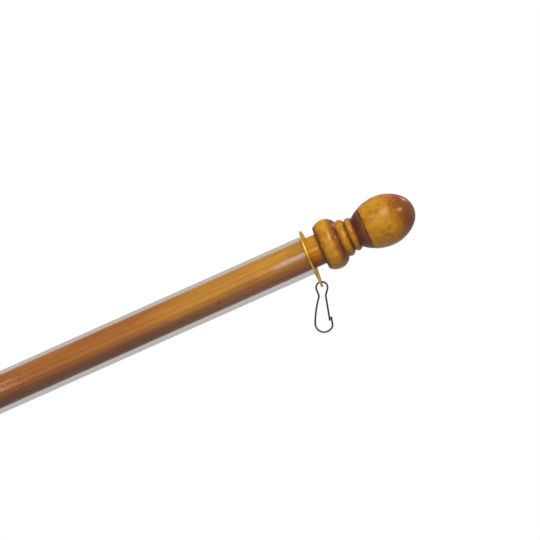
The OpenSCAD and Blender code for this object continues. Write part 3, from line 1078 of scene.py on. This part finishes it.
def rolled_brass(name):
    tree, shader, grain, _ = finish_start(name)
    bloom = noise(tree, stretched(tree, grain, (260, 110, 110)), detail=3.0)
    lines = noise(tree, stretched(tree, grain, (900, 60, 2600)))
    half = {"Metallic": 0.5, "Specular_IOR_Level": 0.2}
    dulled(tree, shader, bloom, BRASS_BLOOM, lines, (0.34, 0.48), lines, 0.00001, **half)


def plated_wire(name):
    tree, shader, grain, _ = finish_start(name)
    bloom = noise(tree, grain, scale=420, detail=3.0)
    drawn = noise(tree, grain, scale=3500, detail=1.0)
    dulled(tree, shader, bloom, WIRE_BLOOM, bloom, (0.28, 0.42), drawn, 0.000004, Metallic=1.0)


def moulded_rubber(name):
    tree, shader, grain, _ = finish_start(name)
    bloom = noise(tree, grain, scale=180, detail=3.0)
    dulled(tree, shader, bloom, RUBBER_BLOOM, bloom, (0.48, 0.66), noise(tree, grain, scale=2600), 0.00001)


rolled_brass("rolled_brass_plate")
rolled_brass("rolled_brass_washer")
plated_wire("dull_plated_wire")
moulded_rubber("moulded_black_rubber")
for piece in pieces.values():
    print(piece.name, "wears", ", ".join(material.name for material in piece.data.materials))

# %% [markdown]
# ## Camera
#
# The camera looks level at the upper end of the pole, from a little round the
# finial's side. A near camera with a wide lens would swell the knob, so this
# one stands two metres off with a long lens. The finial's seat is the mark
# that it aims by.

# %% Aim the camera
AZIMUTH = math.radians(4.0)
DISTANCE, WIDTH, SENSOR = 2.0, 0.432, 36.0
LEFT_OF_SEAT, BELOW_SEAT = 0.0408, 0.0172
right = Vector((math.cos(AZIMUTH), math.sin(AZIMUTH), 0))
view = Vector((-math.sin(AZIMUTH), math.cos(AZIMUTH), 0))
seat_at = along * seat_z
target = seat_at - right * LEFT_OF_SEAT - Vector((0, 0, BELOW_SEAT))
camera_data = bpy.data.cameras.new("camera")
camera_data.sensor_width = SENSOR
camera_data.lens = SENSOR * DISTANCE / WIDTH
camera = bpy.data.objects.new("camera", camera_data)
bpy.context.scene.collection.objects.link(camera)
camera.location = target - view * DISTANCE
camera.rotation_euler = view.to_track_quat("-Z", "Y").to_euler()
bpy.context.scene.camera = camera
print("camera at", [round(c, 3) for c in camera.location])

# %% [markdown]
# ## Lamps
#
# A varnished cylinder mirrors a lamp as one long streak, and only a lamp that
# stands at the right angle along the pole shows at all. So each lamp is placed
# by two angles: sideways along the pole, and up over it from the front. The
# key makes the broad light on the upper flank, and the second lights the lower
# end of the pole. A narrow bluish strip gives the pale streak near the plate,
# and a small window the spot on the knob. Two more stand behind the pole, for
# its other side. The large one would also leave a hard white rim in the front
# view, so it lights the wood but doesn't show in gloss.

# %% Set up the lamps
LAMP_DISTANCE = 2.2
DAYLIGHT, SKY_BLUE, LOW_SUN = (1.0, 0.98, 0.95), (0.38, 0.56, 1.0), (1.0, 0.80, 0.45)
WARM_WHITE, EVENING = (1.0, 0.97, 0.93), (1.0, 0.85, 0.60)


def area_lamp(name, sideways, elevation, size, power, colour, spread):
    """A soft lamp that faces the seat. Its direction is given in degrees:
    sideways towards the finial, then up and over the pole from the front."""
    lamp_data = bpy.data.lights.new(name, "AREA")
    lamp_data.shape = "RECTANGLE"
    lamp_data.size, lamp_data.size_y = size
    lamp_data.energy = power
    lamp_data.color = colour
    lamp_data.spread = math.radians(spread)
    lamp = bpy.data.objects.new(name, lamp_data)
    bpy.context.scene.collection.objects.link(lamp)
    s, e = math.radians(sideways), math.radians(elevation)
    out = along * math.sin(s) + (-side * math.cos(e) - down * math.sin(e)) * math.cos(s)
    across = (along - out * along.dot(out)).normalized()
    turned = Matrix((across, out.cross(across), out)).transposed()
    lamp.matrix_world = Matrix.Translation(seat_at + out * LAMP_DISTANCE) @ turned.to_4x4()
    print(name, "lamp of", power, "W at", [round(c, 2) for c in lamp.matrix_world.translation])
    return lamp


area_lamp("key", 13, 33, (0.75, 2.0), 7.2, DAYLIGHT, spread=80)
area_lamp("second", -24, 24, (0.5, 2.2), 2.4, DAYLIGHT, spread=80)
area_lamp("strip", -2.6, 8, (0.15, 1.2), 1.05, SKY_BLUE, spread=120)
area_lamp("window", 60, 30, (0.40, 0.22), 2.3, LOW_SUN, spread=90)
behind = area_lamp("behind", 25, 158, (1.0, 2.0), 5.5, WARM_WHITE, spread=80)
behind.visible_glossy = False
area_lamp("back window", 43, 138, (0.25, 0.25), 0.7, EVENING, spread=90)

# %% [markdown]
# ## The room
#
# A plain white world would make the background white, but it would also pour
# light on the object from all sides and bleach the tube and the wire. Light
# Path tells what kind of ray is asking, so the world can answer each one in
# its own way. The camera sees white. Straight off gloss, a ray sees a grey that
# is dark in front of the pole and brighter behind it. Through the tube it sees
# a pale grey. All the rest get a dim, rosy fill.

# %% Build the world
SEEN_THROUGH, FILL = 0.62, 0.125
GREY_IN_FRONT, GREY_BEHIND = 0.13, 0.45
GREY_TINT, FILL_TINT, WHITE = (1.0, 0.95, 0.90), (1, 0.76, 0.92, 1), (1, 1, 1)


def straight_from_gloss(tree, path):
    """1 for a mirrored or transmitted ray that has met nothing matt on its way."""
    bright = math_node(tree, "MAXIMUM", path["Is Glossy Ray"], path["Is Transmission Ray"])
    return product(tree, bright, math_node(tree, "LESS_THAN", path["Diffuse Depth"], 0.5))


def pale_room():
    world = bpy.data.worlds.new("pale room")
    world.use_nodes = True
    tree = world.node_tree
    tree.nodes.clear()
    path = add_node(tree, "ShaderNodeLightPath").outputs
    direction = add_node(tree, "ShaderNodeTexCoord").outputs["Generated"]
    backwards = add_node(tree, "ShaderNodeSeparateXYZ", Vector=direction).outputs["Y"]
    grey = ranged(tree, backwards, -0.35, 0.45, GREY_IN_FRONT, GREY_BEHIND)
    mirrored = product(tree, path["Is Glossy Ray"], grey)
    through = product(tree, path["Is Transmission Ray"], SEEN_THROUGH)
    level = math_node(tree, "MAXIMUM", mirrored, through)
    level = math_node(tree, "MAXIMUM", path["Is Camera Ray"], level)
    tint = mixed(tree, path["Is Camera Ray"], GREY_TINT, WHITE)
    pale = add_node(tree, "ShaderNodeBackground", Color=tint, Strength=level).outputs[0]
    fill = add_node(tree, "ShaderNodeBackground", Color=FILL_TINT, Strength=FILL).outputs[0]
    seen = math_node(tree, "MAXIMUM", path["Is Camera Ray"], straight_from_gloss(tree, path))
    both = add_node(tree, "ShaderNodeMixShader", Fac=seen, i1=fill, i2=pale).outputs[0]
    add_node(tree, "ShaderNodeOutputWorld", Surface=both)
    print("world", world.name, "has", len(tree.nodes), "nodes")
    return world


bpy.context.scene.world = pale_room()

# %% [markdown]
# ## The floor
#
# The pole leans out over a pale floor. A lit floor alone looks greyer than the
# world behind it and ends in a hard line. So it is part matt and part glow:
# the glow is seen by the camera and in gloss only, and it grows to plain
# white at the rim. The matt part keeps a little of the shadow.

# %% Lay the floor
FLOOR_R, FLOOR_Z = 2.8, -0.30
FLOOR_PALE = (0.62, 0.58, 0.55, 1)
FADE_STARTS, FADE_ENDS, GLOW_INSIDE, GLOW_IN_GLOSS = 1.2, 2.7, 0.72, 0.8


def pale_floor(middle):
    """A floor material that turns to white away from the middle."""
    material = bpy.data.materials.new("pale_floor")
    material.use_nodes = True
    tree = material.node_tree
    tree.nodes.clear()
    place = add_node(tree, "ShaderNodeTexCoord").outputs["Object"]
    radius = length_of(tree, stretched(tree, place, (1, 1, 0), Location=(-middle, 0, 0)))
    path = add_node(tree, "ShaderNodeLightPath").outputs
    pale = add_node(tree, "ShaderNodeBsdfDiffuse", Color=FLOOR_PALE).outputs[0]
    strength = math_node(tree, "MAXIMUM", path["Is Camera Ray"], SEEN_THROUGH)
    glow = add_node(tree, "ShaderNodeEmission", Color=(*WHITE, 1), Strength=strength).outputs[0]
    outwards = ranged(tree, radius, FADE_STARTS, FADE_ENDS, GLOW_INSIDE, 1.0)
    fade = product(tree, path["Is Camera Ray"], outwards)
    glossy = product(tree, straight_from_gloss(tree, path), GLOW_IN_GLOSS)
    fade = math_node(tree, "MAXIMUM", fade, glossy)
    both = add_node(tree, "ShaderNodeMixShader", Fac=fade, i1=pale, i2=glow).outputs[0]
    add_node(tree, "ShaderNodeOutputMaterial", Surface=both)
    return material


floor_mesh = bpy.data.meshes.new("floor")
rim = arc((seat_at.x / 2, 0), FLOOR_R, 0, 360, 97)[:-1]
floor_mesh.from_pydata([(x, y, FLOOR_Z) for x, y in rim], [], [tuple(range(len(rim)))])
floor_mesh.materials.append(pale_floor(seat_at.x / 2))
floor = bpy.data.objects.new("floor", floor_mesh)
bpy.context.scene.collection.objects.link(floor)
print("floor", FLOOR_R * 2, "m across, at height", FLOOR_Z)

# %% [markdown]
# ## Finish
#
# The Standard view shows each colour as it was mixed; a film-like one would
# dull the varnish.

# %% Set the view
bpy.context.scene.view_settings.view_transform = "Standard"
bpy.context.view_layer.update()
